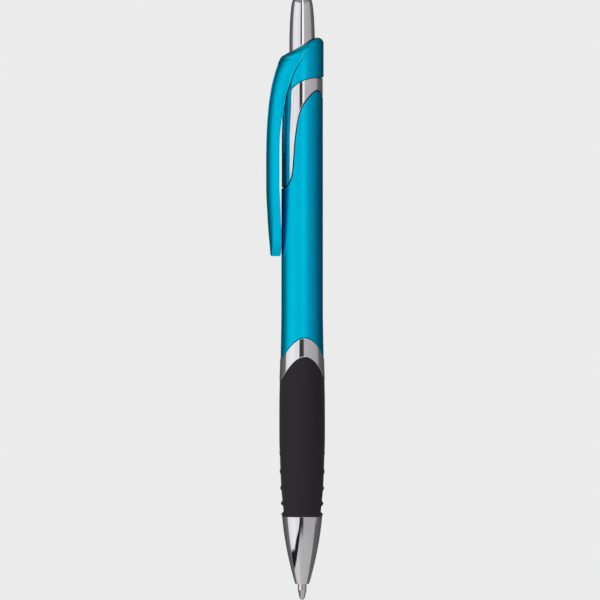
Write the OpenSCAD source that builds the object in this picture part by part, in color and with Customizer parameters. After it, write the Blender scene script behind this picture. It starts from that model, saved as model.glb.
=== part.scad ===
// Retractable ballpoint pen. The pen's axis is Z, the ball's lowest point is the origin,
// the push button is at the top and the clip is on the -X side. The point is extended.

/* [Button and refill] */
// Overall length with the point extended
pen_length = 142; // [136:0.5:148]
// How far the refill and the button rise when the point is drawn in
travel = 5; // [4:0.1:5.4]
// Radius of the button where it enters the cap
button_radius = 3; // [2.8:0.05:3]
// Diameter of the writing ball
ball_diameter = 1; // [0.7:0.1:1]
// Outside radius of the ink tube
tube_radius = 1.5; // [1.4:0.05:1.5]
// Inside radius of the ink tube
tube_bore = 0.95; // [0.8:0.05:1]

/* [Shell] */
// Outside radius of the barrel
barrel_radius = 4.9; // [4.85:0.05:5]
// Outside radius of the chrome sleeve under the cap and behind the clip
sleeve_radius = 4.63; // [4.6:0.01:4.65]
// Outside radius of the sleeve where it shows beside the barrel
collar_radius = 4.86; // [4.8:0.01:4.9]
// Outside radius of the cap
cap_radius = 5.06; // [5.04:0.01:5.2]
// Slope of the cap's slanted top, in degrees
cap_slope = 29; // [20:0.5:32]
// Greatest radius of the rubber grip
grip_radius = 5.4; // [5.3:0.05:5.6]
// Height where the nose cone meets the grip
nose_top = 19.7; // [19:0.1:20]
// Height where the nose cone ends around the point
nose_tip = 3.8; // [3:0.1:4.5]

/* [Clip] */
// Distance from the pen's axis to the clip's outer face at its middle
clip_reach = 8.53; // [8:0.01:9]
// Height of the clip's free end
clip_end = 81.15; // [78:0.05:84]
// Half width of the window at its narrow lower end
window_low = 0.47; // [0.3:0.01:0.6]
// Half width of the window under the cap's crossbar
window_high = 1.3; // [1:0.05:1.5]

/* [Spring] */
// Radius of the coil's centre line
spring_radius = 2.2; // [2.1:0.05:2.25]
// Radius of the spring wire
wire_radius = 0.19; // [0.15:0.01:0.22]
// Number of turns
spring_turns = 10; // [8:1:14]

/* [Hidden] */
$fn = 96;
gap = 0.05;
core_radius = 3.6;
core_bore = 2.7;
barrel_bore = 4;
sleeve_neck = 4.4;
sleeve_bore = 3.85;
sleeve_low = 95.9;
sleeve_top = 126.6;
guide_radius = 3.8;
groove_radius = 3.3;
land_radius = 2.52;
cam_radius = 2.45;
rib_radius = 3.2;
land_low = 112;
ramp_rate = travel / 45;
stop_low = land_low + 11.55;
button_low = stop_low - 4.5;
land_high = button_low - 1.25;
seat_low = 11;
ear_low = 33;
tube_top = 106.8;
window_floor = 105.5;
cap_inner = 4.68;
hole_radius = button_radius + 0.08;

// Heights of the barrel's upper edge, from the clip side (negative x) to the back
barrel_edge = [
  [-6, 97.2], [-4.9, 97.2], [-3.96, 97.7], [-3.58, 98.3], [-3.18, 99.1], [-2.81, 100.2],
  [-2.6, 101.6], [-2.45, 103], [-2.3, 105], [-2.19, 107.2], [-1.95, 109.8], [-1.68, 112.1],
  [-1.19, 114.6], [-0.26, 116.9], [1.1, 118.6], [2.07, 119.6], [3.02, 120.1], [4.01, 119.8],
  [4.9, 118.7], [6, 118.2]
];
// The cap's lower edge from the back to the clip side, then its edge behind the clip
cap_edge = [
  [6, 123.4], [1.71, 123.17], [0.77, 122.96], [-0.22, 122.6], [-1.43, 122.04],
  [-2.18, 121.4], [-2.77, 121], [-3.3, 120.5], [-3.1, 121.6], [-2.85, 123],
  [-2.35, 124.4], [-1.6, 126], [-1.1, 126.75]
];
// Clip stations: height, outer face, inner face, radius of the rounded face, half width
clip_rows = [
  [clip_end, clip_reach - 1.27, 5.62, 3.6, 0.9],
  [clip_end + 0.25, clip_reach - 0.98, 5.38, 3.8, 1.25],
  [82, clip_reach - 0.95, 5.36, 4, 1.5], [82.8, clip_reach - 0.9, 5.36, 4.1, 1.75],
  [84, clip_reach - 0.8, 5.36, 4.2, 2.05], [86, clip_reach - 0.61, 5.42, 4.2, 2.4],
  [88.5, clip_reach - 0.42, 5.55, 4.2, 2.75], [91.5, clip_reach - 0.26, 5.65, 4.2, 3.1],
  [94.5, clip_reach - 0.09, 5.75, 4.2, 3.4], [98, clip_reach - 0.01, 5.83, 4.2, 3.7],
  [104, clip_reach, 5.83, 4.2, 4.2], [108.5, clip_reach - 0.05, 5.76, 4.15, 4.2],
  [112, clip_reach - 0.17, 5.44, 4.1, 4.2], [115, clip_reach - 0.39, 4.97, 4.05, 4.2],
  [117, clip_reach - 0.56, 4.6, 4, 4.2], [118.7, clip_reach - 0.8, 4.35, 3.95, 4.2],
  [120, clip_reach - 0.99, 4.03, 4, 4.2], [121.8, clip_reach - 1.33, 3.4, 4.1, 4.3],
  [123, clip_reach - 1.63, 2.96, 4.2, 4.4], [124.4, clip_reach - 2, 2.48, 4.4, 4.6],
  [125.8, clip_reach - 2.47, 1.87, 4.7, 4.8], [sleeve_top, clip_reach - 2.79, 1.46, 4.87, 4.9]
];
// The hood that carries the clip's outline up to the cap's slanted top, in the same order
hood_rows = [
  [sleeve_top + 0.1, clip_reach - 2.83, 1.4, 4.88, 4.92], [127.1, clip_reach - 3, 0.95, 4.93, 4.95],
  [127.5, clip_reach - 3.21, 0.65, 4.98, 5], [127.8, clip_reach - 3.34, 0.4, 5.02, 5.02],
  [128.3, clip_reach - 3.49, 0.1, 5.03, 5.03]
];
// Depth of the grip's flats, as distance from the axis against height
flat_depth = [[20.7, 4.1], [22.8, 4.34], [26.4, 4.74], [30.3, 4.96], [34.7, 5.18], [37.2, 5.44]];
// Ridges on the flats: height and distance of the crest from the axis
ridges = [[22.8, 5.01], [26.4, 5.16], [30.3, 5.3], [34.7, 5.34]];

function arch(top, drop, r) = [for (i = [-12:12]) [i / 2, top - drop * pow(i / 2 / r, 2)]];
function backwards(list) = [for (i = [len(list) - 1:-1:0]) list[i]];
function raised(list, dz) = [for (p = list) [p[0], p[1] + dz]];
function nose_radius(t) = 1.64 + 0.2957 * t - 0.006334 * t * t;
// The sleeve's raised collar, seen from the side, between the barrel's edge and the cap's edge
collar_side = [
  [-3.62, 97.2], [-3.42, 98.1], [-3.12, 103], [-2.82, 110], [-2.55, 117.5], [-2.42, 121.06],
  [-2.18, 121.26], [-1.43, 121.9], [-0.22, 122.46], [0.77, 122.82], [1.71, 123.03], [6, 123.26]
];
function strip(a, b) = [[a[0], a[1], b[1]], [a[0], b[1], b[0]]];

band_low = arch(57.4, 5.5, 5.3);
band_high = arch(61.8, 4.8, 5.05);

// A slab across the pen, seen from the side as the polygon
module side_slab(points) {
  rotate([90, 0, 0]) linear_extrude(height = 24, center = true) polygon(points);
}

module lathe(points) {
  rotate_extrude() polygon(points);
}

module tube(outer, inner, low, high) {
  lathe([[inner, low], [outer, low], [outer, high], [inner, high]]);
}

// A solid through rings of points, every ring with the same number of points
module loft(rings) {
  n = len(rings[0]);
  rows = len(rings);
  sides = [
    for (i = [0:rows - 2]) for (j = [0:n - 1])
      let (a = [i * n + j, i * n + (j + 1) % n], b = [(i + 1) * n + j, (i + 1) * n + (j + 1) % n])
      each strip(a, b)
  ];
  floor_face = [for (j = [n - 1:-1:0]) j];
  roof_face = [for (j = [0:n - 1]) (rows - 1) * n + j];
  polyhedron(points = [for (r = rings) each r], faces = concat([floor_face], [roof_face],
    [for (f = sides) [f[0], f[1], f[2]]]));
}

// A block between two radii and two angles whose ends may slope along the circle
module ramp_block(r1, r2, a0, a1, low0, low1, high0, high1) {
  loft([
    for (i = [0:4])
      let (t = i / 4, a = a0 + (a1 - a0) * t, low = low0 + (low1 - low0) * t,
           high = high0 + (high1 - high0) * t)
      [[r1 * cos(a), r1 * sin(a), low], [r2 * cos(a), r2 * sin(a), low],
       [r2 * cos(a), r2 * sin(a), high], [r1 * cos(a), r1 * sin(a), high]]
  ]);
}

// A ring of eight pointed teeth standing on a flat foot
module crown(r1, r2, foot, low, high) {
  count = 32;
  heights = [for (i = [0:count - 1]) i % 4 == 0 ? low : (i % 4 == 2 ? high : (low + high) / 2)];
  points = [
    for (i = [0:count - 1])
      let (a = 360 * i / count, c = cos(a), s = sin(a))
      each [[r1 * c, r1 * s, foot], [r2 * c, r2 * s, foot],
            [r2 * c, r2 * s, heights[i]], [r1 * c, r1 * s, heights[i]]]
  ];
  upward = high > foot;
  faces = [
    for (i = [0:count - 1]) for (k = [0:3])
      let (j = (i + 1) % count, m = (k + 1) % 4)
      each [[4 * i + k, 4 * i + m, 4 * j + m], [4 * i + k, 4 * j + m, 4 * j + k]]
  ];
  polyhedron(points = points, faces = upward ? faces : [for (f = faces) [f[2], f[1], f[0]]]);
}

module push_button() {
  color([0.82, 0.82, 0.85]) lathe([
    [0, pen_length - 3.4], [2.25, pen_length - 3.4], [2.25, button_low],
    [button_radius, button_low], [button_radius, 129], [button_radius + 0.02, 131],
    [button_radius, pen_length - 9], [button_radius - 0.07, pen_length - 7],
    [button_radius - 0.16, pen_length - 5], [button_radius - 0.28, pen_length - 3.4],
    [button_radius - 0.42, pen_length - 2.1], [button_radius - 0.58, pen_length - 1.1],
    [button_radius - 0.8, pen_length - 0.4], [button_radius - 1, pen_length - 0.1],
    [button_radius - 1.2, pen_length], [0, pen_length]
  ]);
}

module plunger() {
  color([0.92, 0.92, 0.9]) union() {
    lathe([
      [1.2, land_low + 2.6], [cam_radius, land_low + 2.6], [cam_radius, button_low - gap],
      [2.2, button_low - gap], [2.2, pen_length - 3.5], [1.2, pen_length - 3.5]
    ]);
    crown(1.3, 2.4, land_low + 2.9, land_low + 2.65, land_low + 1.85);
    for (a = [45:90:315]) rotate(a) ramp_block(
      2.3, rib_radius, -12, 12, land_low + 3, land_low + 3, stop_low - 5.05, stop_low - 5.05
    );
  }
}

module rotor_cam() {
  color([0.25, 0.3, 0.38]) union() {
    lathe([
      [1.56, land_low - 10], [cam_radius, land_low - 10], [cam_radius, land_low + 1],
      [0.9, land_low + 1], [0.9, tube_top + 0.65], [1.56, tube_top + 0.65]
    ]);
    crown(1.3, 2.4, land_low + 0.8, land_low + 1, land_low + 1.8);
    for (a = [0:90:270]) rotate(a) ramp_block(
      2.3, rib_radius, -7.5, 7.5, land_low - 7, land_low - 7,
      land_low - 7.5 * ramp_rate, land_low + 7.5 * ramp_rate
    );
  }
}

module cam_guide() {
  color([0.9, 0.9, 0.92]) union() {
    lathe([
      [groove_radius, sleeve_low + 1.55], [guide_radius, sleeve_low + 1.55],
      [guide_radius, sleeve_top - 0.1], [hole_radius, sleeve_top - 0.1],
      [hole_radius, stop_low], [groove_radius, stop_low]
    ]);
    for (a = [0:90:270]) rotate(a) ramp_block(
      land_radius, 3.45, -10, 10,
      land_low + 0.15 - 10 * ramp_rate, land_low + 0.15 + 10 * ramp_rate,
      land_high, land_high
    );
  }
}

module cap() {
  rise = tan(cap_slope);
  color([0, 0.62, 0.75]) difference() {
    intersection() {
      union() {
        translate([0, 0, 115]) cylinder(r = cap_radius, h = 25);
        loft([for (row = hood_rows) clip_ring(row)]);
      }
      side_slab(concat(cap_edge, [
        [-6, 126.65], [-6, 130.9 - 6 * rise], [3, 130.9 + 3 * rise], [3.4, 132.72],
        [3.75, 132.75], [4.2, 132.65], [4.6, 132.4], [4.96, 131.92], [5.2, 131.4], [6, 130]
      ]));
    }
    translate([0, 0, 110]) cylinder(r = cap_inner, h = sleeve_top - 109.9);
    translate([0, 0, 110]) cylinder(r = hole_radius, h = 30);
  }
}

function clip_ring(row) =
  let (
    c = row[1] - row[3],
    wide = sqrt(row[3] * row[3] - pow(max(row[2] + 0.18 - c, 0), 2)),
    w = min(row[4], wide),
    most = asin(min(w / row[3], 1))
  )
  concat(
    [for (k = [-7:7]) let (a = most * k / 7) [-c - row[3] * cos(a), row[3] * sin(a), row[0]]],
    [[-row[2], w, row[0]], [-row[2], -w, row[0]]]
  );

module clip() {
  color([0, 0.6, 0.73]) union() {
    difference() {
      loft([for (row = clip_rows) clip_ring(row)]);
      translate([0, 0, 96]) cylinder(r = 4.72, h = 40);
      translate([-12, 0, 0]) rotate([90, 0, 90]) linear_extrude(height = 11) polygon([
        [-window_low, window_floor], [window_low, window_floor], [1, 118],
        [window_high, sleeve_top + 1], [-window_high, sleeve_top + 1], [-1, 118]
      ]);
    }
    intersection() {
      translate([-10.3, 0, 86.8]) rotate([90, 0, 0]) cylinder(r = 5.3, h = 3, center = true);
      translate([-6.2, -1.5, 84]) cube([1.4, 3, 5.6]);
    }
  }
}

module upper_sleeve() {
  color([0.8, 0.8, 0.83]) union() {
    lathe([
      [2.2, sleeve_low], [sleeve_neck, sleeve_low], [sleeve_neck, sleeve_top],
      [sleeve_bore, sleeve_top], [sleeve_bore, sleeve_low + 1.5], [2.2, sleeve_low + 1.5]
    ]);
    intersection() {
      tube(sleeve_radius, sleeve_neck - 0.2, sleeve_low, sleeve_top);
      side_slab(concat(raised(barrel_edge, 0.14), [[6, 140], [-6, 140]]));
    }
    intersection() {
      tube(collar_radius, sleeve_neck - 0.2, sleeve_low, sleeve_top);
      side_slab(concat(raised(barrel_edge, 0.14), [[6, 140], [-6, 140]]));
      side_slab(concat(collar_side, [[6, 97.2]]));
    }
  }
}

module barrel() {
  color([0, 0.66, 0.8]) intersection() {
    lathe([
      [barrel_bore, 50], [barrel_radius + 0.18, 50], [barrel_radius + 0.18, 57],
      [barrel_radius + 0.12, 60], [barrel_radius + 0.05, 64], [barrel_radius, 68],
      [barrel_radius, 125], [sleeve_neck + gap, 125], [sleeve_neck + gap, sleeve_low - gap],
      [barrel_bore, sleeve_low - gap]
    ]);
    side_slab(concat(raised(band_high, gap), backwards(barrel_edge)));
  }
}

module centre_band() {
  color([0.78, 0.78, 0.82]) intersection() {
    lathe([
      [core_radius + gap, 50], [grip_radius - 0.03, 50], [grip_radius - 0.05, 52],
      [grip_radius - 0.12, 54], [grip_radius - 0.22, 57], [grip_radius - 0.29, 60],
      [grip_radius - 0.31, 64], [core_radius + gap, 64]
    ]);
    side_slab(concat(band_low, backwards(band_high)));
  }
}

module grip_core() {
  color([0.3, 0.3, 0.33]) lathe([
    [3.15, nose_top + gap], [core_radius, nose_top + gap], [core_radius, 62.1],
    [barrel_bore - gap, 62.1], [barrel_bore - gap, 71.6], [barrel_bore - 0.4, 72],
    [core_bore, 72], [core_bore, nose_top + 5.9], [3.15, nose_top + 5.9]
  ]);
}

module grip() {
  side = concat(
    [[4.92, nose_top], [4.92, 20.4], [4.1, 20.9]],
    [for (r = ridges) each [
      [lookup(r[0] - 0.75, flat_depth), r[0] - 0.75], [r[1], r[0]],
      [lookup(r[0] + 0.75, flat_depth), r[0] + 0.75]
    ]],
    [[5.44, 37.2], [7, 38]]
  );
  mirrored = [for (p = backwards(side)) [-p[0], p[1]]];
  color([0.13, 0.12, 0.13]) intersection() {
    lathe([
      [core_radius + gap, nose_top + 0.08], [4.74, nose_top + 0.08], [4.86, nose_top + 0.4],
      [grip_radius - 0.37, 22.4], [grip_radius - 0.21, 26], [grip_radius - 0.07, 30.7],
      [grip_radius - 0.02, 36], [grip_radius, 42], [grip_radius - 0.02, 47],
      [grip_radius - 0.12, 52], [grip_radius - 0.2, 57], [grip_radius - 0.2, 60],
      [core_radius + gap, 60]
    ]);
    side_slab(concat(mirrored, side, backwards(raised(band_low, -gap))));
  }
}

module nose_cone() {
  length = nose_top - nose_tip;
  color([0.8, 0.8, 0.83]) lathe(concat(
    [[1.1, nose_tip], [1.5, nose_tip]],
    [for (i = [1:32]) [nose_radius(length * i / 32) - (i == 1 ? 0.05 : 0), nose_tip + length * i / 32]],
    [
      [3.1, nose_top], [3.1, nose_top + 5.6], [2.9, nose_top + 5.8], [2.5, nose_top + 5.8],
      [2.5, seat_low], [2, seat_low], [2, 8.6], [1.1, 7.6]
    ]
  ));
}

module return_spring() {
  low = seat_low + wire_radius;
  high = ear_low - 0.02 - wire_radius;
  steps = 18 * spring_turns;
  closed = 0.42;
  pitch = (high - low - 2 * closed) / (spring_turns - 2);
  rings = [
    for (i = [0:steps])
      let (
        turn = i / 18, a = 360 * turn,
        z = turn < 1 ? low + closed * turn
          : (turn > spring_turns - 1 ? high - closed * (spring_turns - turn)
          : low + closed + pitch * (turn - 1))
      )
      [for (k = [5:-1:0])
        let (r = spring_radius + wire_radius * cos(60 * k))
        [r * cos(a), r * sin(a), z + wire_radius * sin(60 * k)]]
  ];
  color([0.7, 0.71, 0.73]) loft(rings);
}

module refill_tube() {
  color([0.85, 0.88, 0.92]) union() {
    tube(tube_radius, tube_bore, 13.05, tube_top);
    intersection() {
      translate([0, 0, ear_low + 0.6]) cube([6, 0.8, 1.2], center = true);
      tube(2.3, 1.2, ear_low, ear_low + 1.2);
    }
  }
}

module ink_column() {
  color([0.05, 0.08, 0.35]) translate([0, 0, 18.1]) cylinder(r = tube_bore - 0.03, h = 70);
}

module tail_plug() {
  color([0.95, 0.95, 0.95]) lathe([
    [0.2, tube_top - 3.6], [tube_bore - 0.02, tube_top - 3.6], [tube_bore - 0.02, tube_top + 0.04],
    [tube_radius, tube_top + 0.04], [tube_radius, tube_top + 0.6], [0.2, tube_top + 0.6]
  ]);
}

module tip_adapter() {
  color([0.9, 0.9, 0.93]) lathe([
    [0.82, 9.45], [1.15, 9.45], [1.4, 9.9], [tube_radius, 12], [tube_radius, 13],
    [tube_bore - 0.02, 13], [tube_bore - 0.02, 18], [0.45, 18], [0.45, 13.1], [0.82, 13.1]
  ]);
}

module point_holder() {
  ball = ball_diameter / 2;
  color([0.72, 0.69, 0.62]) lathe([
    [ball + 0.015, 0.36], [ball + 0.06, 0.36], [ball + 0.12, 0.6], [1.03, 2.35], [1.03, 9.4],
    [0.8, 9.4], [0.8, 13], [0.2, 13], [0.2, 2 * ball + 0.15], [ball + 0.015, 2 * ball + 0.02]
  ]);
}

module writing_ball() {
  color([0.6, 0.6, 0.62]) translate([0, 0, ball_diameter / 2]) sphere(d = ball_diameter);
}

push_button();
plunger();
rotor_cam();
cam_guide();
cap();
clip();
upper_sleeve();
barrel();
centre_band();
grip_core();
grip();
nose_cone();
return_spring();
refill_tube();
ink_column();
tail_plug();
tip_adapter();
point_holder();
writing_ball();
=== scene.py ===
"""Retractable ballpoint pen: the finish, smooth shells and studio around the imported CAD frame.

Lengths in this script are millimetres until a mesh is made; MM turns them into metres.
The pen's axis is Z, the writing ball's lowest point is the origin, the clip is on the -X side.
"""
import math

import bmesh
import bpy
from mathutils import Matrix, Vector


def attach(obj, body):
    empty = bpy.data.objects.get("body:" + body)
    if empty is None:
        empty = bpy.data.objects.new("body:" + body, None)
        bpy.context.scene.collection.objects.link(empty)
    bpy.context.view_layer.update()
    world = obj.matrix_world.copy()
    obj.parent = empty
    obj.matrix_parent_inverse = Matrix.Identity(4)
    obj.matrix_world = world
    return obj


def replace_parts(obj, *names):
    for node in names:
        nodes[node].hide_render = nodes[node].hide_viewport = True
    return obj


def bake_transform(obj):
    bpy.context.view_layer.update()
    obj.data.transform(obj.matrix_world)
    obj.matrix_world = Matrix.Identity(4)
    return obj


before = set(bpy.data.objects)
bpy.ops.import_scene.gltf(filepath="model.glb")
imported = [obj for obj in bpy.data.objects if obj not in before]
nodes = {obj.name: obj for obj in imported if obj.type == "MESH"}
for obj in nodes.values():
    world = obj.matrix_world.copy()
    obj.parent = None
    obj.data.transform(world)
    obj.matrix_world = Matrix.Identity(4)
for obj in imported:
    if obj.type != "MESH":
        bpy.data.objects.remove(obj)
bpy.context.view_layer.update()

MM = 0.001
TAU = 2 * math.pi
scene = bpy.context.scene

# ------------------------------------------------------------------ numbers shared with the CAD
BARREL_R = 4.9
SLEEVE_R = 4.63
COLLAR_R = 4.86
SLEEVE_NECK = 4.4
SLEEVE_LOW, SLEEVE_TOP = 95.9, 126.6
CAP_R = 5.06
CAP_IN = 4.68
HOLE_R = 3.08
SLOPE = math.tan(math.radians(29))
PLANE = 130.9  # height of the cap's slanted top on the axis
NOSE_TOP, NOSE_TIP = 19.7, 3.8
CLIP_END = 81.15


# ------------------------------------------------------------------ curve helpers
def clamp(v, lo, hi):
    return max(lo, min(hi, v))


def smoothstep(a, b, v):
    t = clamp((v - a) / (b - a), 0, 1)
    return t * t * (3 - 2 * t)


class Curve:
    """A smooth function of one number through the given points (monotone cubic)."""

    def __init__(self, points):
        points = sorted(points)
        self.x = [p[0] for p in points]
        self.y = [p[1] for p in points]
        h = [b - a for a, b in zip(self.x, self.x[1:])]
        d = [(b - a) / s for a, b, s in zip(self.y, self.y[1:], h)]
        m = [d[0]]
        for i in range(1, len(d)):
            if d[i - 1] * d[i] <= 0:
                m.append(0.0)
            else:
                w1, w2 = 2 * h[i] + h[i - 1], h[i] + 2 * h[i - 1]
                m.append((w1 + w2) / (w1 / d[i - 1] + w2 / d[i]))
        m.append(d[-1])
        self.h, self.m = h, m

    def __call__(self, v):
        x = self.x
        if v <= x[0]:
            return self.y[0]
        if v >= x[-1]:
            return self.y[-1]
        i = 0
        while v > x[i + 1]:
            i += 1
        h = self.h[i]
        t = (v - x[i]) / h
        a, b = self.y[i], self.y[i + 1]
        return (
            a * (1 + 2 * t) * (1 - t) ** 2
            + b * t * t * (3 - 2 * t)
            + h * (self.m[i] * t * (1 - t) ** 2 - self.m[i + 1] * t * t * (1 - t))
        )


def span(a, b, n):
    return [a + (b - a) * i / n for i in range(n + 1)]


def rounded(points, steps=6):
    """A profile of (r, z) or (r, z, radius) with each corner that has a radius turned into an arc."""
    out = []
    for i, p in enumerate(points):
        if len(p) == 2 or p[2] <= 0 or i in (0, len(points) - 1):
            out.append((p[0], p[1]))
            continue
        c = Vector(p[:2])
        u = Vector(points[i - 1][:2]) - c
        v = Vector(points[i + 1][:2]) - c
        lu, lv = u.length, v.length
        u.normalize(), v.normalize()
        half = u.angle(v) / 2
        cut = min(p[2] / math.tan(half), lu * 0.49, lv * 0.49)
        radius = cut * math.tan(half)
        centre = c + (u + v).normalized() * radius / math.sin(half)
        a, b = c + u * cut - centre, c + v * cut - centre
        turn = math.atan2(a.x * b.y - a.y * b.x, a.dot(b))
        for k in range(steps + 1):
            s = turn * k / steps
            out.append(
                (
                    centre.x + a.x * math.cos(s) - a.y * math.sin(s),
                    centre.y + a.x * math.sin(s) + a.y * math.cos(s),
                )
            )
    return out


# ------------------------------------------------------------------ mesh helpers
def make(name, points, faces, material, sharp=38):
    """An object from points in millimetres: doubled points joined, edges over `sharp` degrees kept crisp."""
    mesh = bpy.data.meshes.new(name)
    mesh.from_pydata([(x * MM, y * MM, z * MM) for x, y, z in points], [], faces)
    bm = bmesh.new()
    bm.from_mesh(mesh)
    bmesh.ops.remove_doubles(bm, verts=bm.verts, dist=2e-7)
    bmesh.ops.dissolve_degenerate(bm, edges=bm.edges, dist=1e-7)
    loose = [v for v in bm.verts if not v.link_faces]
    bmesh.ops.delete(bm, geom=loose, context="VERTS")
    bmesh.ops.recalc_face_normals(bm, faces=bm.faces)
    limit = math.radians(sharp)
    for f in bm.faces:
        f.smooth = True
    for e in bm.edges:
        if len(e.link_faces) == 2 and e.calc_face_angle(0) > limit:
            e.smooth = False
    bm.to_mesh(mesh)
    bm.free()
    obj = bpy.data.objects.new(name, mesh)
    scene.collection.objects.link(obj)
    mesh.materials.append(material)
    return obj


def sheet_faces(rows, cols, start=0, wrap_cols=False, wrap_rows=False):
    """Quads over a grid of points stored row after row."""
    faces = []
    for i in range(rows if wrap_rows else rows - 1):
        for j in range(cols if wrap_cols else cols - 1):
            a, b = start + i * cols, start + ((i + 1) % rows) * cols
            k = (j + 1) % cols
            faces.append((a + j, a + k, b + k, b + j))
    return faces


def lathed(profile, segments=160):
    """Points and faces of a closed profile of (r, z) turned about the pen's axis."""
    points = []
    for i in range(segments):
        a = TAU * i / segments
        c, s = math.cos(a), math.sin(a)
        points += [(r * c, r * s, z) for r, z in profile]
    return points, sheet_faces(segments, len(profile), wrap_rows=True, wrap_cols=True)


def lathe(name, profile, material, segments=160, sharp=38):
    return make(name, *lathed(profile, segments), material, sharp)


def joined(*pieces):
    """Several (points, faces) pairs as one."""
    points, faces = [], []
    for more_points, more_faces in pieces:
        start = len(points)
        points += more_points
        faces += [tuple(i + start for i in f) for f in more_faces]
    return points, faces


def fine_angles(radius, height, count, limit=math.pi, even=0.35):
    """Angles from -limit to limit, closer together where the edge height(x) is steep."""
    n = 4000
    total, sums, last = 0.0, [0.0], height(radius)
    for i in range(1, n + 1):
        a = limit * i / n
        z = height(radius * math.cos(a))
        ds = radius * limit / n
        total += math.hypot(ds, z - last) + even * ds
        sums.append(total)
        last = z
    half, i = [], 0
    for k in range(count + 1):
        want = total * k / count
        while i < n and sums[i + 1] < want:
            i += 1
        step = sums[i + 1] - sums[i] if i < n else 1.0
        half.append(limit * min(1.0, (i + (want - sums[i]) / step) / n))
    return [-a for a in reversed(half[1:])] + half


def shell(
    angles, low, high, outer, inner, levels, f_low, f_high, closed=True, steps=5, inner_levels=3
):
    """Points and faces of a thin wall between two edges low(x) and high(x), rounded by f_low and f_high.
    outer and inner give the radius at an angle and height; levels says where rows go between the
    edges, from 0 to 1."""
    count = len(angles)

    def place(angle, z, pull=0.0):
        r = outer(angle, z) - pull
        return Vector((r * math.cos(angle), r * math.sin(angle), z))

    def edge(height):
        line = [place(a, height(outer(a, 0) * math.cos(a))) for a in angles]
        for k in range(2):  # the edge's height follows x, which depends on the radius there
            line = [place(a, height(p.x)) for a, p in zip(angles, line)]
        return line

    e_low, e_high = edge(low), edge(high)
    gap = [(q - p).length for p, q in zip(e_low, e_high)]

    def rim(line, sign, radius):
        """Rows of the rounded edge, from the wall's face round to its end."""
        arcs = [[] for _ in range(steps + 1)]
        for j, p in enumerate(line):
            before = line[j - 1] if (closed or j > 0) else line[j]
            after = line[(j + 1) % count] if (closed or j < count - 1) else line[j]
            t = (after - before).normalized()
            n = Vector((p.x, p.y, 0)).normalized()
            down = n.cross(t).normalized() * sign
            f = radius(p.x) if callable(radius) else radius
            f = min(f, 0.45 * gap[j])
            for k in range(steps + 1):
                s = math.pi / 2 * k / steps
                arcs[k].append(p + down * f * (1 - math.sin(s)) - n * f * (1 - math.cos(s)))
        return arcs

    # angles run anticlockwise, so n x t points up along +Z
    top = rim(e_high, -1, f_high)
    foot = rim(e_low, 1, f_low)
    near = [min(0.1 / g, 0.04) for g in gap]  # a row close to each edge keeps the face's shading clean

    def across(t):
        row = []
        for a, b, e in zip(foot[0], top[0], near):
            ta, tb = math.atan2(a.y, a.x), math.atan2(b.y, b.x)
            if tb - ta > math.pi:
                tb -= TAU
            if ta - tb > math.pi:
                tb += TAU
            u = t + (1 - 2 * t) * e
            row.append(place(ta + (tb - ta) * u, a.z + (b.z - a.z) * u))
        return row

    rows = [foot[0]] + [across(t) for t in levels] + [top[0]]
    rows += top[1:]
    inside_top, inside_low = [], []
    for line, out in ((top[-1], inside_top), (foot[-1], inside_low)):
        for a, p in zip(angles, line):
            r = min(inner(a, p.z), math.hypot(p.x, p.y))
            n = Vector((p.x, p.y, 0)).normalized()
            out.append(Vector((n.x * r, n.y * r, p.z)))
    for k in range(inner_levels + 1):
        t = k / inner_levels
        row = []
        for p, q in zip(inside_top, inside_low):
            v = p.lerp(q, t)
            r = inner(math.atan2(v.y, v.x), v.z)
            n = Vector((v.x, v.y, 0)).normalized()
            row.append(Vector((n.x * r, n.y * r, v.z)) if 0 < k < inner_levels else v)
        rows.append(row)
    rows += foot[:0:-1]
    points = [tuple(p) for row in rows for p in row]
    faces = sheet_faces(len(rows), count, wrap_cols=closed, wrap_rows=True)
    if not closed:
        for j in (0, count - 1):
            faces.append(tuple(i * count + j for i in range(len(rows))))
    return points, faces


# ------------------------------------------------------------------ materials
def new_material(name, **values):
    """A material with one Principled shader, whose sockets get the plain values."""
    m = bpy.data.materials.new(name)
    m.use_nodes = True
    tree = m.node_tree
    shader = next(n for n in tree.nodes if n.type == "BSDF_PRINCIPLED")
    for key, value in values.items():
        shader.inputs[key.replace("_", " ")].default_value = value
    return m, tree, shader


def node(tree, kind, **values):
    n = tree.nodes.new("ShaderNode" + kind)
    for key, value in values.items():
        if key in n.inputs:
            n.inputs[key].default_value = value
        elif hasattr(n, key):
            setattr(n, key, value)
        else:
            n.inputs[key.replace("_", " ")].default_value = value
    return n


def noise(tree, scale, detail=3.0, rough=0.55, stretch=None):
    """Noise over the object's own coordinates; scale is in features per millimetre."""
    where = node(tree, "TexCoord").outputs["Object"]
    if stretch:
        mapping = node(tree, "Mapping")
        mapping.inputs["Scale"].default_value = stretch
        tree.links.new(where, mapping.inputs["Vector"])
        where = mapping.outputs["Vector"]
    n = node(tree, "TexNoise", Scale=scale * 1000, Detail=detail, Roughness=rough)
    tree.links.new(where, n.inputs["Vector"])
    return n.outputs["Fac"]


def ramp(tree, source, stops, smooth=False):
    r = node(tree, "ValToRGB")
    r.color_ramp.interpolation = "EASE" if smooth else "LINEAR"
    while len(r.color_ramp.elements) < len(stops):
        r.color_ramp.elements.new(0.5)
    for e, (pos, value) in zip(r.color_ramp.elements, stops):
        e.position = pos
        e.color = value if isinstance(value, tuple) else (value, value, value, 1)
    tree.links.new(source, r.inputs["Fac"])
    return r.outputs["Color"]


def bump(tree, shader, height, strength, distance, under=None):
    b = node(tree, "Bump", Strength=strength, Distance=distance * MM)
    tree.links.new(height, b.inputs["Height"])
    if under is not None:
        tree.links.new(under, b.inputs["Normal"])
    tree.links.new(b.outputs["Normal"], shader.inputs["Normal"])
    return b.outputs["Normal"]


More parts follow.
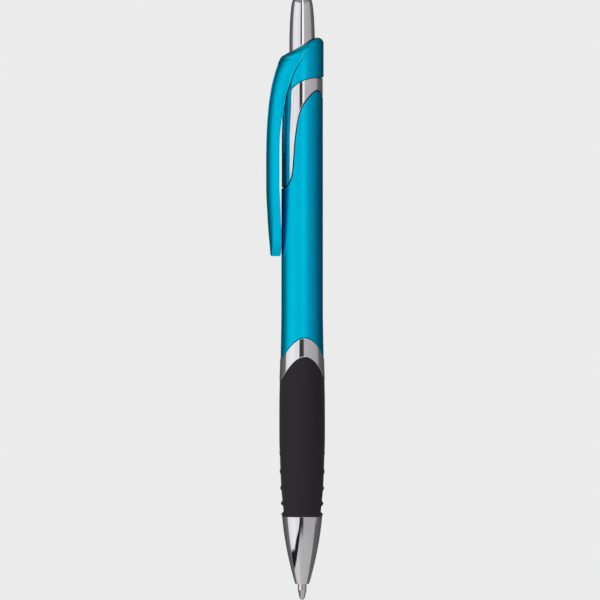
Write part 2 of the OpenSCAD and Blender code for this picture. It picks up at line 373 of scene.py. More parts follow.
def painted_gap_shade(tree, shader, colour, reach):
    """Gives the shader its colour with painted shade: darker inside narrow gaps and corners, where ambient
    occlusion finds little open space.
    """
    open_ = node(tree, "AmbientOcclusion", Distance=reach * MM, samples=8)
    shade = ramp(tree, open_.outputs["AO"], [(0.35, 0.0), (0.9, 1.0)])
    both = node(tree, "Mix", data_type="RGBA", blend_type="MULTIPLY")
    both.inputs[0].default_value = 1
    tree.links.new(colour, both.inputs[6])
    tree.links.new(shade, both.inputs[7])
    tree.links.new(both.outputs[2], shader.inputs["Base Color"])


LACQUER_ROUGH = 0.40


def lacquer(name, deep, light):
    """Satin metallic lacquer: a fine flake that shifts the colour and roughness."""
    m, t, s = new_material(name, Metallic=1.0, Roughness=0.45, Specular_Tint=(0.0, 0.35, 0.6, 1))
    flake = noise(t, 26, detail=1.0)
    cloud = noise(t, 0.25, detail=2.0)
    mixed = node(t, "Math", operation="MULTIPLY_ADD")
    t.links.new(flake, mixed.inputs[0])
    mixed.inputs[1].default_value = 0.7
    scaled = node(t, "Math", operation="MULTIPLY")
    t.links.new(cloud, scaled.inputs[0])
    scaled.inputs[1].default_value = 0.3
    t.links.new(scaled.outputs[0], mixed.inputs[2])
    # painted shade: the teal is darkened in gaps and corners by ambient occlusion
    painted_gap_shade(t, s, ramp(t, mixed.outputs[0], [(0.3, deep), (0.7, light)]), 0.4)
    rough = ramp(t, flake, [(0.3, LACQUER_ROUGH - 0.05), (0.7, LACQUER_ROUGH + 0.05)])
    t.links.new(rough, s.inputs["Roughness"])
    bump(t, s, flake, 0.10, 0.004)
    return m


def chrome(name, tint, rough=0.045):
    """Bright plating: faint smears in the roughness and a very shallow moulding ripple."""
    m, t, s = new_material(name, Metallic=1.0, Roughness=rough)
    smear = noise(t, 0.5, detail=4.0, stretch=(1, 1, 0.35))
    t.links.new(ramp(t, smear, [(0.35, rough * 0.7), (0.75, rough * 1.5)]), s.inputs["Roughness"])
    light = tint + (1,)
    dark = tuple(c * 0.965 for c in tint) + (1,)
    # painted shade: the plating is darkened in gaps and corners by ambient occlusion
    painted_gap_shade(t, s, ramp(t, noise(t, 0.18), [(0.3, light), (0.7, dark)]), 0.4)
    bump(t, s, noise(t, 0.22, detail=1.0), 0.12, 0.004)
    return m


def rubber(name, dark, light):
    m, t, s = new_material(
        name, Roughness=0.62, Specular_IOR_Level=0.42, Sheen_Weight=0.10, Sheen_Roughness=0.5
    )
    grain = noise(t, 9, detail=3.0)
    wear = noise(t, 0.16, detail=3.0)
    t.links.new(ramp(t, wear, [(0.3, dark), (0.72, light)]), s.inputs["Base Color"])
    t.links.new(ramp(t, wear, [(0.3, 0.56), (0.7, 0.68)]), s.inputs["Roughness"])
    bump(t, s, grain, 0.25, 0.02)
    return m


def moulded(name, dark, light, rough=0.45, grain=3.0, **more):
    """Plain moulded plastic with a slight colour drift and eroded sheen."""
    m, t, s = new_material(name, Roughness=rough, **more)
    drift = noise(t, 0.3, detail=3.0)
    t.links.new(ramp(t, drift, [(0.3, dark), (0.7, light)]), s.inputs["Base Color"])
    t.links.new(ramp(t, noise(t, 1.5), [(0.3, rough * 0.85), (0.7, rough * 1.15)]), s.inputs["Roughness"])
    bump(t, s, noise(t, grain), 0.15, 0.01)
    return m


def turned(name, dark, light, rough=0.28, pitch=8.0):
    """Metal turned on a lathe: fine rings along the axis."""
    m, t, s = new_material(name, Metallic=1.0, Roughness=rough)
    rings = noise(t, pitch, detail=2.0, stretch=(0.03, 0.03, 1))
    t.links.new(ramp(t, rings, [(0.3, dark), (0.7, light)]), s.inputs["Base Color"])
    t.links.new(ramp(t, rings, [(0.3, rough * 0.8), (0.7, rough * 1.25)]), s.inputs["Roughness"])
    bump(t, s, rings, 0.2, 0.004)
    return m


TEAL = lacquer("teal_lacquer", (0.0, 0.58, 0.83, 1), (0.0, 0.68, 0.95, 1))
CHROME = chrome("bright_plating", (0.90, 0.89, 0.915))
RUBBER = rubber("grip_rubber", (0.014, 0.0085, 0.0115, 1), (0.021, 0.0135, 0.018, 1))
DARK = moulded("dark_plastic", (0.045, 0.05, 0.06, 1), (0.07, 0.075, 0.085, 1))
WHITE = moulded("white_plastic", (0.74, 0.74, 0.71, 1), (0.82, 0.82, 0.80, 1), rough=0.4)
TUBE = moulded(
    "tube_plastic", (0.72, 0.78, 0.84, 1), (0.84, 0.88, 0.92, 1), rough=0.22,
    Transmission_Weight=0.55, IOR=1.5,
)
INK = moulded("ink", (0.004, 0.008, 0.09, 1), (0.008, 0.014, 0.15, 1), rough=0.12, grain=1.0)
SPRING = turned("spring_steel", (0.52, 0.52, 0.55, 1), (0.66, 0.66, 0.68, 1), rough=0.22, pitch=5.0)
NICKEL = turned("nickel_silver", (0.78, 0.69, 0.66, 1), (0.88, 0.80, 0.78, 1), rough=0.14, pitch=9.0)
BALL = turned("ground_carbide", (0.50, 0.48, 0.47, 1), (0.62, 0.60, 0.58, 1), rough=0.18, pitch=14.0)

# ------------------------------------------------------------------ the shell's edges
barrel_edge = Curve([
    (-6, 97.2), (-4.9, 97.2), (-3.96, 97.7), (-3.58, 98.3), (-3.2, 99.1), (-2.9, 100.2), (-2.72, 101.6),
    (-2.6, 103), (-2.46, 105), (-2.33, 107.2), (-2.06, 109.8), (-1.75, 112.1), (-1.21, 114.6), (-0.26, 116.9),
    (1.1, 118.6), (2.07, 119.6), (3.02, 120.1), (4.01, 119.8), (4.9, 118.7), (6, 118.2),
])
skirt_edge = Curve([
    (-3.3, 120.5), (-2.77, 121), (-2.18, 121.4), (-1.43, 122.04), (-0.22, 122.6), (0.77, 122.96),
    (1.71, 123.17), (3.5, 123.35), (6, 123.4),
])


def seam(x, d):
    """The barrel's top edge moved square to itself: up by d, or down where d is under 0."""
    m = (barrel_edge(x + 0.02) - barrel_edge(x - 0.02)) / 0.04
    k = math.hypot(1, m)
    return barrel_edge(x + d * m / k) + d / k


def band_low(x):
    return 57.4 - 5.5 * (x / 5.3) ** 2


def band_high(x):
    return 61.8 - 4.8 * (x / 5.05) ** 2


# ------------------------------------------------------------------ barrel
barrel_outer = Curve([(50, 5.08), (57, 5.08), (60, 5.02), (64, 4.95), (68, 4.9), (70, 4.9), (125, 4.9)])
angles = fine_angles(BARREL_R, barrel_edge, 130)
SEAM = 0.11  # half the gap round the barrel's top edge
levels = span(0, 0.2, 8) + span(0.2, 1, 10)[1:]
points, faces = shell(
    angles[:-1], lambda x: band_high(x) + 0.16, lambda x: seam(x, -SEAM),
    lambda a, z: barrel_outer(z), lambda a, z: 4.45 if z > SLEEVE_LOW - 0.05 else 4.0,
    levels, 0.1, 0.08,
)
barrel = make("barrel_shell", points, faces, TEAL)
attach(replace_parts(barrel, "barrel"), "barrel")

# ------------------------------------------------------------------ chrome sleeve between barrel and cap
angles = fine_angles(SLEEVE_R, barrel_edge, 110)
sleeve = shell(
    angles[:-1], lambda x: seam(x, SEAM), lambda x: SLEEVE_TOP,
    lambda a, z: SLEEVE_R, lambda a, z: 3.85, span(0, 1, 12), 0.02, 0.1,
)
collar_top = Curve([
    (-3.42, 98.1), (-3.12, 103), (-2.82, 110), (-2.55, 117.5), (-2.42, 121.06), (-2.18, 121.26),
    (-1.43, 121.9), (-0.22, 122.46), (0.77, 122.82), (1.71, 123.03), (6, 123.26),
])
tip = math.acos(-3.35 / COLLAR_R)
angles = fine_angles(COLLAR_R, lambda x: collar_top(x) + barrel_edge(x), 150, limit=tip)
collar = shell(
    angles, lambda x: seam(x, SEAM), lambda x: collar_top(x) - 0.06,
    lambda a, z: COLLAR_R, lambda a, z: 4.55, span(0, 1, 16), 0.07, 0.07, closed=False,
)
rear = shell(  # the same step behind the clip
    span(math.pi - 1.05, math.pi + 1.05, 60), lambda x: seam(x, SEAM), lambda x: 116.0,
    lambda a, z: SLEEVE_R + 0.01 + 0.2 * (1 - smoothstep(108, 116, z)), lambda a, z: 4.5,
    span(0, 1, 14), 0.02, 0.01, closed=False,
)
neck = [
    (SLEEVE_NECK, SLEEVE_LOW), (SLEEVE_NECK, 121), (3.9, 121), (3.9, SLEEVE_LOW + 1.5),
    (2.2, SLEEVE_LOW + 1.5), (2.2, SLEEVE_LOW),
]
points, faces = joined(sleeve, collar, rear, lathed(neck, 96))
sleeve = make("upper_sleeve_shell", points, faces, CHROME)
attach(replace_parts(sleeve, "upper_sleeve"), "barrel")

# ------------------------------------------------------------------ chrome band between barrel and grip
band_outer = Curve([(50, 5.37), (52, 5.35), (54, 5.28), (57, 5.18), (60, 5.11), (64, 5.09)])
angles = fine_angles(5.2, band_high, 90)
points, faces = shell(
    angles[:-1], band_low, band_high, lambda a, z: band_outer(z), lambda a, z: 3.65,
    span(0, 1, 10), 0.06, 0.08,
)
band = make("centre_band_shell", points, faces, CHROME)
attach(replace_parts(band, "centre_band"), "barrel")

# ------------------------------------------------------------------ rubber grip with ribbed flats
grip_round = Curve([
    (19.78, 4.74), (20.1, 4.86), (22.4, 5.03), (26, 5.19), (30.7, 5.33), (36, 5.38), (42, 5.398), (47, 5.38),
    (52, 5.28), (57, 5.2), (60, 5.2),
])
flat_depth = Curve([(20.7, 4.1), (22.8, 4.34), (26.4, 4.74), (30.3, 4.96), (34.7, 5.18), (37.2, 5.44)])
RIDGES = ((22.8, 5.01), (26.4, 5.16), (30.3, 5.3), (34.7, 5.34))


def flat_limit(z):
    """How far the grip's flats and their ridges stand from the axis."""
    lip = 4.92 - 0.82 * smoothstep(20.25, 20.95, z)
    depth = flat_depth(z) if z > 20.7 else 4.1
    for height, crest in RIDGES:
        reach = abs(z - height)
        if reach < 0.8:
            rise = max(0.0, 1 - reach / 0.75)
            depth += (crest - flat_depth(height)) * rise * rise * (3 - 2 * rise)
    return max(lip, depth) if z < 37.4 else 9.0


def grip_outer(a, z):
    """The smaller of the round form and the flats, with their meeting edge rounded."""
    r = grip_round(z)
    c = abs(math.cos(a))
    flat = flat_limit(z) / max(c, 0.05)
    k = 0.12
    h = clamp(0.5 + 0.5 * (flat - r) / k, 0, 1)
    return flat + (r - flat) * h - k * h * (1 - h) if abs(flat - r) < k else min(r, flat)


low_zone = span(0, 0.48, 150)
points, faces = shell(
    span(-math.pi, math.pi, 200)[:-1], lambda x: NOSE_TOP + 0.02, lambda x: band_low(x) - 0.05,
    grip_outer, lambda a, z: 3.65, low_zone + span(0.48, 1, 34)[1:], 0.08, 0.16, inner_levels=6,
)
grip = make("grip_sleeve", points, faces, RUBBER, sharp=60)
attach(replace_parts(grip, "grip"), "barrel")


# ------------------------------------------------------------------ nose cone
def nose_radius(t):
    return 1.64 + 0.2957 * t - 0.006334 * t * t


length = NOSE_TOP - NOSE_TIP
side = [(nose_radius(length * i / 48), NOSE_TIP + length * i / 48) for i in range(1, 48)]
profile = rounded(
    [(1.1, 7.6), (1.1, NOSE_TIP, 0.06), (nose_radius(0) - 0.02, NOSE_TIP, 0.14)]
    + side
    + [
        (nose_radius(length), NOSE_TOP, 0.05), (3.1, NOSE_TOP), (3.1, 25.3), (2.9, 25.5),
        (2.5, 25.5), (2.5, 11.0), (2.0, 11.0), (2.0, 8.6),
    ]
)
nose = lathe("nose_cone_shell", profile, CHROME, 192)
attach(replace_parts(nose, "nose_cone"), "barrel")

# ------------------------------------------------------------------ writing point and ball
profile = rounded([
    (0.515, 0.36), (0.56, 0.36, 0.02), (0.64, 0.62, 0.1), (1.03, 2.35, 0.25), (1.03, 9.4), (0.8, 9.4),
    (0.8, 13), (0.2, 13), (0.2, 1.15), (0.515, 1.02),
])
holder = lathe("point_holder_turned", profile, NICKEL, 96, sharp=30)
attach(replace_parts(holder, "point_holder"), "refill")
arc = [(0.5 * math.sin(math.pi * i / 28), 0.5 - 0.5 * math.cos(math.pi * i / 28)) for i in range(29)]
ball = lathe("ball_ground", arc, BALL, 56)
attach(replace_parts(ball, "writing_ball"), "ball")

# ------------------------------------------------------------------ push button
crown = Curve([
    (119.05, 3), (129, 3), (131, 3.02), (133, 3), (135, 2.93), (137, 2.84), (138.6, 2.72), (139.9, 2.58),
    (140.9, 2.42), (141.6, 2.2), (141.9, 2.0), (142, 1.8),
])
heights = [119.05 + 0.12] + span(121, 137, 20) + span(137.4, 141.2, 14)
heights += [141.45, 141.62, 141.75, 141.86, 141.94, 142]
profile = rounded(
    [(0, 138.6), (2.25, 138.6), (2.25, 119.05), (3.0, 119.05, 0.1)] + [(crown(z), z) for z in heights]
) + [(1.2, 142.0), (0, 142.0)]
button = lathe("push_button_shell", profile, CHROME, 160)
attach(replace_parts(button, "push_button"), "button")

# ------------------------------------------------------------------ return spring
COIL_R, WIRE_R, TURNS = 2.2, 0.19, 10
coil_low, coil_high, closed_rise = 11 + WIRE_R, 33 - 0.02 - WIRE_R, 0.42
pitch = (coil_high - coil_low - 2 * closed_rise) / (TURNS - 2)
wire, ring = [], 12
for i in range(TURNS * 48 + 1):
    turn = i / 48
    if turn < 1:
        z = coil_low + closed_rise * turn
    elif turn > TURNS - 1:
        z = coil_high - closed_rise * (TURNS - turn)
    else:
        z = coil_low + closed_rise + pitch * (turn - 1)
    a = TAU * turn
    for k in range(ring):
        b = TAU * k / ring
        r = COIL_R + WIRE_R * math.cos(b)
        wire.append((r * math.cos(a), r * math.sin(a), z + WIRE_R * math.sin(b)))
rows = TURNS * 48 + 1
faces = sheet_faces(rows, ring, wrap_cols=True)
faces += [tuple(range(ring)), tuple((rows - 1) * ring + k for k in range(ring))]
spring = make("return_spring_coil", wire, faces, SPRING, sharp=50)
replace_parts(spring, "return_spring")
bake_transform(spring)


# ------------------------------------------------------------------ cap
def cap_fillet(a):
    """Radius of the rounded band along the cap's slanted top, at this angle round the pen."""
    c = math.cos(a)
    return 1.05 + 0.32 * smoothstep(0.2, 1.0, c) - 0.75 * smoothstep(0.62, 1.0, -c)


def cap_column(a):
    """Outer profile of the cap's top at angle a, from where the round side ends to the button's hole."""
    m = math.cos(a) * SLOPE
    z0 = PLANE
    f = cap_fillet(a)
    rc = CAP_R - f
    zc = z0 + m * rc - f * math.sqrt(1 + m * m)
    turn = math.atan2(1, -m)
    arc = [(rc + f * math.cos(turn * k / 12), zc + f * math.sin(turn * k / 12)) for k in range(13)]
    bevel = 0.8 * (1 - smoothstep(-0.1, 0.55, math.cos(a)))  # nearly a flat bevel beside the clip
    (r0, h0), (r1, h1) = arc[0], arc[-1]
    for k in range(1, 12):
        t = k / 12
        r, h = arc[k]
        arc[k] = (r + (r0 + (r1 - r0) * t - r) * bevel, h + (h0 + (h1 - h0) * t - h) * bevel)
    rim = HOLE_R + 0.16
    hole = z0 + m * HOLE_R
    return arc, [(rim + 0.02, z0 + m * (rim + 0.02)), (HOLE_R + 0.05, hole - 0.04), (HOLE_R, hole - 0.16)]


def band_start(x):
    a = math.acos(clamp(x / CAP_R, -1, 1))
    return cap_column(a)[0][0][1]


CREASE_END = 0.95
crease = Curve([
    (-3.3, 120.5), (-3.1, 121.6), (-2.85, 123), (-2.35, 124.4), (-1.6, 126), (-1.1, 126.75), (-0.2, 128.0),
    (0.5, 129.1), (CREASE_END, band_start(CREASE_END)),
])


def skirt_top(x):
    gap = 0.24 * (1 - smoothstep(-2.6, -1.0, x))  # opens between the hood and the skirt, more so lower down
    return crease(x) - gap if x < CREASE_END else band_start(x)


tip = math.acos(-3.29 / CAP_R)
angles = fine_angles(CAP_R, lambda x: skirt_top(max(x, -3.29)), 150, limit=tip)
points, faces = shell(
    angles, lambda x: skirt_edge(max(x, -3.3)), lambda x: skirt_top(max(x, -3.3)),
    lambda a, z: CAP_R, lambda a, z: CAP_IN, span(0, 1, 24), 0.09,
    lambda x: 0.09 * (1 - smoothstep(0.3, CREASE_END, x)) + 1e-4, closed=False,
)
skirt_count = len(points)
top_points, columns = [], 256
for i in range(columns):
    a = TAU * i / columns
    arc, slope = cap_column(a)
    column = [(HOLE_R, 126.65), (4.88, 126.65), (4.88, arc[0][1] - 0.05), (CAP_R - 0.03, arc[0][1] - 0.02)]
    (r0, h0), (r1, h1) = arc[-1], slope[0]
    column += arc + [(r0 * (1 - k) + r1 * k, h0 * (1 - k) + h1 * k) for k in (0.33, 0.67)] + slope
    top_points += [(r * math.cos(a), r * math.sin(a), z) for r, z in column]
size = len(column)
faces += sheet_faces(columns, size, start=skirt_count, wrap_rows=True, wrap_cols=True)
cap = make("cap_shell", points + top_points, faces, TEAL)
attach(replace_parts(cap, "cap"), "barrel")

# ------------------------------------------------------------------ clip
# Stations: height, outer face, inner face, radius of the rounded face, half width
ROWS = [
    (CLIP_END, 7.2, 5.5, 3.5, 0.75), (CLIP_END + 0.3, 7.5, 5.22, 3.7, 1.05), (82, 7.56, 5.17, 3.8, 1.35),
    (82.8, 7.63, 5.15, 4, 1.65), (84, 7.73, 5.15, 4.2, 2.0), (86, 7.92, 5.2, 4.2, 2.4),
    (88.5, 8.11, 5.32, 4.2, 2.75), (91.5, 8.27, 5.46, 4.2, 3.1), (94.5, 8.44, 5.62, 4.2, 3.4),
    (98, 8.52, 5.83, 4.2, 3.7), (104, 8.53, 5.83, 4.2, 4.2), (108.5, 8.48, 5.76, 4.15, 4.2),
    (112, 8.36, 5.44, 4.1, 4.2), (115, 8.14, 4.97, 4.05, 4.2), (117, 7.97, 4.6, 4, 4.2),
    (118.7, 7.73, 4.35, 3.95, 4.2), (120, 7.54, 4.03, 4, 4.2), (121.8, 7.2, 3.4, 4.1, 4.3),
    (123, 6.9, 2.96, 4.2, 4.4), (124.4, 6.53, 2.46, 4.4, 4.6), (125.8, 6.06, 1.80, 4.7, 4.8),
    (126.6, 5.74, 1.32, 4.87, 4.95), (127.1, 5.53, 0.95, 4.93, 4.98), (127.5, 5.32, 0.65, 4.98, 5.02),
    (127.8, 5.19, 0.42, 5.03, 5.05), (128.3, 5.1, 0.05, 5.08, 5.1), (128.8, 5.09, -0.26, 5.09, 5.2),
    (129.4, 5.08, -0.66, 5.08, 5.2), (130.0, 5.07, -1.05, 5.07, 5.2),
]
clip_face, clip_back, clip_round, clip_half = (Curve([(r[0], r[k]) for r in ROWS]) for k in (1, 2, 3, 4))
window_half = Curve([(105.5, 0.47), (118, 1.0), (126.6, 1.3)])
WINDOW_LOW, WINDOW_HIGH = 105.5, 126.6
BORE = 4.72


def under_cap(x, y, z):
    """The point itself, or above the cap's side the nearest point just under the cap's surface."""
    r, a = math.hypot(x, y), math.atan2(y, x)
    line = cap_column(a)[0]
    limit, height = r, z
    if z >= line[-1][1]:
        limit, height = line[-1][0] - 0.05, line[-1][1] - 0.05
    elif z > line[0][1]:
        for (r0, z0), (r1, z1) in zip(line, line[1:]):
            if z0 <= z <= z1:
                limit = r0 + (r1 - r0) * (z - z0) / max(z1 - z0, 1e-6) - 0.05
                break
    scale = min(1.0, limit / r)
    return x * scale, y * scale, height


ARC, SIDE, BACK, WALL, EDGE = 22, 3, 14, 4, 6


def clip_half_ring(z, w):
    """One half (y >= 0) of the clip's section at height z: face, side, back and, where w is over 0,
    the window's wall."""
    face, back, radius, half = clip_face(z), clip_back(z), clip_round(z), clip_half(z)
    c = face - radius
    edge = min(0.16, 0.3 * (face - back))
    last = math.acos(clamp((back + 0.18 - c) / radius, -1, 1))
    if radius * math.sin(min(last, math.pi / 2)) > half:
        last = math.asin(half / radius)
    first = math.asin(min(w / radius, 1))
    ring = []
    # the face, from the window's edge (rounded) to the side
    ease = 0.1 if w > 0 else 0.0
    for k in range(EDGE + 1):
        s = math.pi / 2 * k / EDGE
        a = first + ease / radius * (1 - math.cos(s)) if ease else first
        sink = ease * (1 - math.sin(s)) if ease else 0.0
        ring.append((-c - (radius - sink) * math.cos(a), (radius - sink) * math.sin(a)))
    begin, end = first + ease / radius, last - edge / radius
    for k in range(1, ARC + 1):
        a = begin + (end - begin) * k / ARC
        ring.append((-c - radius * math.cos(a), radius * math.sin(a)))
    # the rounded corner between face and side
    x1, y1 = -c - radius * math.cos(last), radius * math.sin(last)
    xs = -back
    corner = Vector((x1, y1))
    a0 = Vector(ring[-1])
    drop = min(edge, max(xs - x1, 0.02) * 0.45)
    b0 = corner + Vector((drop, 0)) if xs > x1 + 0.04 else corner
    for k in range(1, EDGE + 1):
        t = k / EDGE
        p = a0 * (1 - t) ** 2 + corner * 2 * t * (1 - t) + b0 * t * t
        ring.append((p.x, p.y))
    x2, y2 = b0
    for k in range(1, SIDE + 1):
        ring.append((x2 + (xs - x2) * k / SIDE, y2))
    # the back, flat or hollowed over the sleeve
    for k in range(1, BACK + 1):
        y = y2 + (w - y2) * k / BACK
        bore = math.sqrt(BORE * BORE - y * y) if y < BORE and z > 96 else -99
        ring.append((-max(back, bore), y))
    # the window's wall
    x3, y3 = ring[-1]
    x4 = ring[0][0]
    for k in range(1, WALL):
        ring.append((x3 + (x4 - x3) * k / WALL, y3))
    out = []
    for x, y in ring:
        out.append(under_cap(x, y, z) if z > 127.5 else (x, y, z))
    return out


def window(z):
    if not WINDOW_LOW <= z <= WINDOW_HIGH:
        return 0.0
    w = window_half(z)
    floor = z - WINDOW_LOW
    if floor < 0.47:
        w = math.sqrt(max(0.47**2 - (0.47 - floor) ** 2, 1e-4))
    return w


stations = [CLIP_END + v for v in (0, 0.04, 0.1, 0.18, 0.28, 0.4, 0.6)]
stations += span(82, 105.2, 50) + [WINDOW_LOW - 0.01]
stations += [WINDOW_LOW + v for v in (0, 0.03, 0.08, 0.16, 0.26, 0.36, 0.47)]
stations += span(106.4, 126.4, 50) + [WINDOW_HIGH, WINDOW_HIGH + 0.01] + span(126.8, 130.0, 16)
halves = []
for z in stations:
    w = window(z)
    halves.append((z, w, clip_half_ring(z, w)))
ring_size = len(halves[0][2])
wall_from = EDGE + 1 + ARC + EDGE + SIDE + BACK - 1
points, faces = [], []
for side_sign in (1, -1):
    start = len(points)
    for z, w, ring_points in halves:
        points += [(x, y * side_sign, z) for x, y, z in ring_points]
    for i in range(len(halves) - 1):
        solid = halves[i][1] == 0 and halves[i + 1][1] == 0
        for j in range(ring_size):
            k = (j + 1) % ring_size
            if solid and j >= wall_from:
                continue
            a, b = start + i * ring_size, start + (i + 1) * ring_size
            faces.append((a + j, a + k, b + k, b + j))
    end_ring = [start + j for j in range(wall_from + 1)]
    faces.append(tuple(end_ring))
    faces.append(tuple(start + (len(halves) - 1) * ring_size + j for j in range(wall_from + 1)))
clip = make("pocket_clip", points, faces, TEAL, sharp=42)
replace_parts(clip, "clip")
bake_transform(clip)

# the rounded boss under the clip's free end
boss, n_y, n_z = [], 14, 24
for i in range(n_z + 1):
    z = 84.3 + 5.0 * i / n_z
    for j in range(n_y + 1):
        y = -1.5 + 3.0 * j / n_y
        x = -10.3 + math.sqrt(5.3**2 - (z - 86.8) ** 2)
        rim = smoothstep(1.5, 1.15, abs(y))
        boss.append((-5.9 + (x + 5.9) * rim, y, z))
base = len(boss)
for i in range(n_z + 1):
    for j in range(n_y + 1):
        boss.append((-6.2, -1.5 + 3.0 * j / n_y, 84.3 + 5.0 * i / n_z))
faces = sheet_faces(n_z + 1, n_y + 1) + sheet_faces(n_z + 1, n_y + 1, start=base)
cols = n_y + 1
loop = list(range(cols)) + [i * cols + n_y for i in range(1, n_z + 1)]
loop += [n_z * cols + j for j in range(n_y - 1, -1, -1)] + [i * cols for i in range(n_z - 1, 0, -1)]
faces += [(a, b, b + base, a + base) for a, b in zip(loop, loop[1:] + loop[:1])]
boss_piece = make("pocket_clip_boss", boss, faces, TEAL, sharp=60)
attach(boss_piece, "clip")

# ------------------------------------------------------------------ CAD nodes that stay, with their finish
for names, finish in (
    (("plunger", "cam_guide", "tail_plug", "tip_adapter"), WHITE),
    (("rotor_cam", "grip_core"), DARK),
    (("refill_tube",), TUBE),
    (("ink_column",), INK),
):
    for name in names:
        mesh = nodes[name].data
        mesh.materials.clear()
        mesh.materials.append(finish)

# ------------------------------------------------------------------ floor, studio and camera
FLOOR_Z, FLOOR_R = -0.4, 0.36
ring = [(FLOOR_R * math.cos(TAU * i / 96), FLOOR_R * math.sin(TAU * i / 96), FLOOR_Z) for i in range(96)]
mesh = bpy.data.meshes.new("floor")
mesh.from_pydata(ring, [], [tuple(range(96))])
floor = bpy.data.objects.new("floor", mesh)
scene.collection.objects.link(floor)
paper, tree, shader = new_material("pale_paper", Roughness=0.8)
tree.links.new(
    ramp(tree, noise(tree, 0.004), [(0.3, (0.60, 0.60, 0.60, 1)), (0.7, (0.63, 0.63, 0.63, 1))]),
    shader.inputs["Base Color"],
)
shader.inputs["Emission Color"].default_value = (1, 1, 1, 1)
shader.inputs["Emission Strength"].default_value = 0.5
mesh.materials.append(paper)

CAMERA_TURN = -7.0
world = bpy.data.worlds.new("studio")
scene.world = world
world.use_nodes = True
tree = world.node_tree
tree.nodes.clear()
direction = node(tree, "TexCoord").outputs["Generated"]
parts = node(tree, "SeparateXYZ")
tree.links.new(direction, parts.inputs[0])
minus_y = node(tree, "Math", operation="MULTIPLY")
tree.links.new(parts.outputs["Y"], minus_y.inputs[0])
minus_y.inputs[1].default_value = -1
turn = node(tree, "Math", operation="ARCTAN2")
tree.links.new(parts.outputs["X"], turn.inputs[0])
tree.links.new(minus_y.outputs[0], turn.inputs[1])
share = node(tree, "Math", operation="MULTIPLY_ADD")
tree.links.new(turn.outputs[0], share.inputs[0])
share.inputs[1].default_value = 1 / TAU
share.inputs[2].default_value = 0.5


def at(degrees):
    return (degrees + CAMERA_TURN) / 360 + 0.5


def grey(value, tint=(1.0, 1.0, 1.0)):
    return tuple(value * c for c in tint) + (1,)


COOL, LILAC, WARM = (0.985, 0.99, 1.02), (1.01, 0.975, 1.03), (1.02, 0.98, 0.99)
around = ramp(tree, share.outputs[0], [
    (0.0, grey(0.05)), (at(-130), grey(0.10)), (at(-97), grey(0.17)), (at(-91), grey(0.78, COOL)),
    (at(-60), grey(0.90, COOL)), (at(-45), grey(0.90, COOL)), (at(-30), grey(0.80, COOL)),
    (at(-17), grey(0.84, COOL)), (at(-12.5), grey(0.035)), (at(7), grey(0.06)),
    (at(11), grey(0.49, LILAC)), (at(60), grey(0.42, LILAC)), (at(92), grey(0.34, LILAC)),
    (at(97), grey(0.13)),
    (at(135), grey(0.09)), (1.0, grey(0.05)),
])


def blend_in(source, low, high, under, over):
    """over where source passes high, under where it stays below low."""
    span_ = node(tree, "MapRange")
    tree.links.new(source, span_.inputs["Value"])
    for value, socket in ((low, span_.inputs["From Min"]), (high, span_.inputs["From Max"])):
        if isinstance(value, float):
            socket.default_value = value
        else:
            tree.links.new(value, socket)
    mix = node(tree, "Mix", data_type="RGBA")
    tree.links.new(span_.outputs["Result"], mix.inputs[0])
    for value, socket in ((under, mix.inputs[6]), (over, mix.inputs[7])):
        if isinstance(value, tuple):
            socket.default_value = value
        else:
            tree.links.new(value, socket)
    return mix.outputs[2]


# the floor's glow below the studio, with its far edge nearer on the camera's right
glow = ramp(tree, share.outputs[0], [
    (0.0, grey(0.16)), (at(-130), grey(0.16)), (at(-97), grey(0.20)), (at(-90), grey(0.60, WARM)),
    (at(-40), grey(0.66, WARM)), (at(-20), grey(0.52, WARM)), (at(-8), grey(0.48, WARM)),
    (at(60), grey(0.45, LILAC)), (at(82), grey(0.44, LILAC)), (at(88), grey(0.12)),
    (1.0, grey(0.14)),
])


def sine(degrees):
    return math.sin(math.radians(degrees))


def line(*stops):
    """A ramp of how far below the horizon, as a sine, a line lies; stops are (azimuth, degrees below)."""
    return ramp(tree, share.outputs[0], [(at(az), grey(sine(below))) for az, below in stops])


floor_from = line(
    (-97, 21), (-83, 22.7), (-72, 24), (-51, 24.6), (-33, 22.9), (-20, 20), (-13, 16.8), (-8, 15.5),
    (10, 15.5),
)
floor_full = line(
    (-97, 22), (-83, 23.7), (-72, 25), (-51, 25.6), (-33, 23.9), (-20, 21.2), (-13, 19.5), (-8, 20.5),
    (10, 20.5),
)
panel_from = line(
    (-90, 17.3), (-81, 18.4), (-60, 20.3), (-52, 19.7), (-39, 18.3), (-22.5, 16.3), (-16, 13.7), (-11, 10.3)
)
panel_full = line(
    (-90, 18.3), (-81, 19.4), (-60, 21.3), (-52, 20.7), (-39, 19.3), (-22.5, 17.3), (-16, 14.7), (-11, 11.3)
)
down = node(tree, "Math", operation="MULTIPLY")
tree.links.new(parts.outputs["Z"], down.inputs[0])
down.inputs[1].default_value = -1.0

# the soft light on the left ends in a black border below it and stops above it
border = ramp(tree, share.outputs[0], [
    (at(-100), grey(0.15)), (at(-95), grey(0.012)), (at(-12), grey(0.012)), (at(-9), grey(0.03)),
    (at(6), grey(0.05)), (at(9), grey(0.42, LILAC)), (at(82), grey(0.42, LILAC)), (at(88), grey(0.12)),
])
sky = blend_in(down.outputs[0], panel_from, panel_full, around, border)
above = ramp(tree, share.outputs[0], [
    (at(-100), grey(0.10)), (at(-85), grey(0.26)), (at(60), grey(0.26)), (at(100), grey(0.12)),
])
sky = blend_in(parts.outputs["Z"], sine(24), sine(28), sky, above)
sky = blend_in(down.outputs[0], floor_from, floor_full, sky, glow)
sky = blend_in(parts.outputs["Z"], sine(40), sine(60), sky, grey(0.36))
background = node(tree, "Background", Strength=1.0)
plain = node(tree, "Background", Strength=1.0)
plain.inputs["Color"].default_value = (0.831, 0.831, 0.831, 1)
tree.links.new(sky, background.inputs["Color"])
pick = node(tree, "MixShader")
path = node(tree, "LightPath")
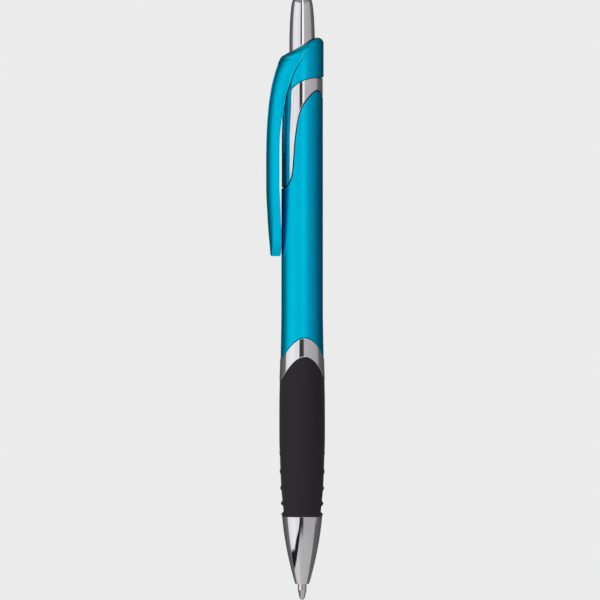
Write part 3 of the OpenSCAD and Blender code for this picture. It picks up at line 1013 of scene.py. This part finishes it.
tree.links.new(path.outputs["Is Camera Ray"], pick.inputs["Fac"])
tree.links.new(background.outputs[0], pick.inputs[1])
tree.links.new(plain.outputs[0], pick.inputs[2])
out = node(tree, "OutputWorld")
tree.links.new(pick.outputs[0], out.inputs["Surface"])

scene.view_settings.view_transform = "Standard"
scene.view_settings.look = "None"

VIEW = 141.6 * MM  # height and width of what the camera sees at the pen
AXIS_ASIDE = 0.5074 * MM  # the pen's axis stands this far right of the view's middle
DISTANCE = 1.6
camera_data = bpy.data.cameras.new("camera")
camera_data.sensor_width = 36
camera_data.lens = camera_data.sensor_width * DISTANCE / VIEW
camera_data.clip_end = 20
camera = bpy.data.objects.new("camera", camera_data)
scene.collection.objects.link(camera)
turn_angle = math.radians(CAMERA_TURN)
away = Vector((math.sin(turn_angle), -math.cos(turn_angle), 0))
rightward = Vector((math.cos(turn_angle), math.sin(turn_angle), 0))
aim = Vector((0, 0, VIEW / 2)) - rightward * AXIS_ASIDE
camera.location = aim + away * DISTANCE
camera.rotation_euler = (math.radians(90), 0, turn_angle)
scene.camera = camera

# ------------------------------------------------------------------ cards close to the pen
# Each is reflected only by the heights of the pen beside it.
CARD_DISTANCE = 0.15


def card(name, left, right, low, high, strength, tint=(1.0, 1.0, 1.0)):
    """A glowing card between two azimuths from the camera's, reflected between two heights of the pen."""
    m = bpy.data.materials.new(name)
    m.use_nodes = True
    m.node_tree.nodes.clear()
    glow_node = node(m.node_tree, "Emission", Strength=strength)
    glow_node.inputs["Color"].default_value = tint + (1,)
    end = node(m.node_tree, "OutputMaterial")
    m.node_tree.links.new(glow_node.outputs[0], end.inputs["Surface"])
    points, steps = [], 12
    for i in range(steps + 1):
        a = math.radians(left + (right - left) * i / steps + CAMERA_TURN)
        for z in (low, high):
            rise = (z * MM - VIEW / 2) / DISTANCE * CARD_DISTANCE
            points.append((math.sin(a) * CARD_DISTANCE, -math.cos(a) * CARD_DISTANCE, z * MM + rise))
    sheet = bpy.data.meshes.new(name)
    sheet.from_pydata(points, [], [(2 * i, 2 * i + 2, 2 * i + 3, 2 * i + 1) for i in range(steps)])
    obj = bpy.data.objects.new(name, sheet)
    scene.collection.objects.link(obj)
    sheet.materials.append(m)
    obj.visible_camera = False


for name, low, high in (("grip", 22, 58), ("barrel", 76, 113.5), ("cap", 124.6, 130)):
    for left, right, strength, blue in (
        (-11, 18, 1.35, 1.0), (18, 40, 0.54, 1.12), (40, 62, 0.36, 1.3), (62, 84, 0.20, 1.55),
        (84, 120, 0.05, 1.8),
    ):
        card(f"card_{name}_{left}", left, right, low, high, strength, (0.9, 0.97, blue))
card("card_front_collar", 2, 13, 113.5, 124.6, 0.95)
card("card_button", -2, 16, 130.5, 260, 1.05)
card("card_button_line", -14, -2, 130, 260, 0.02)
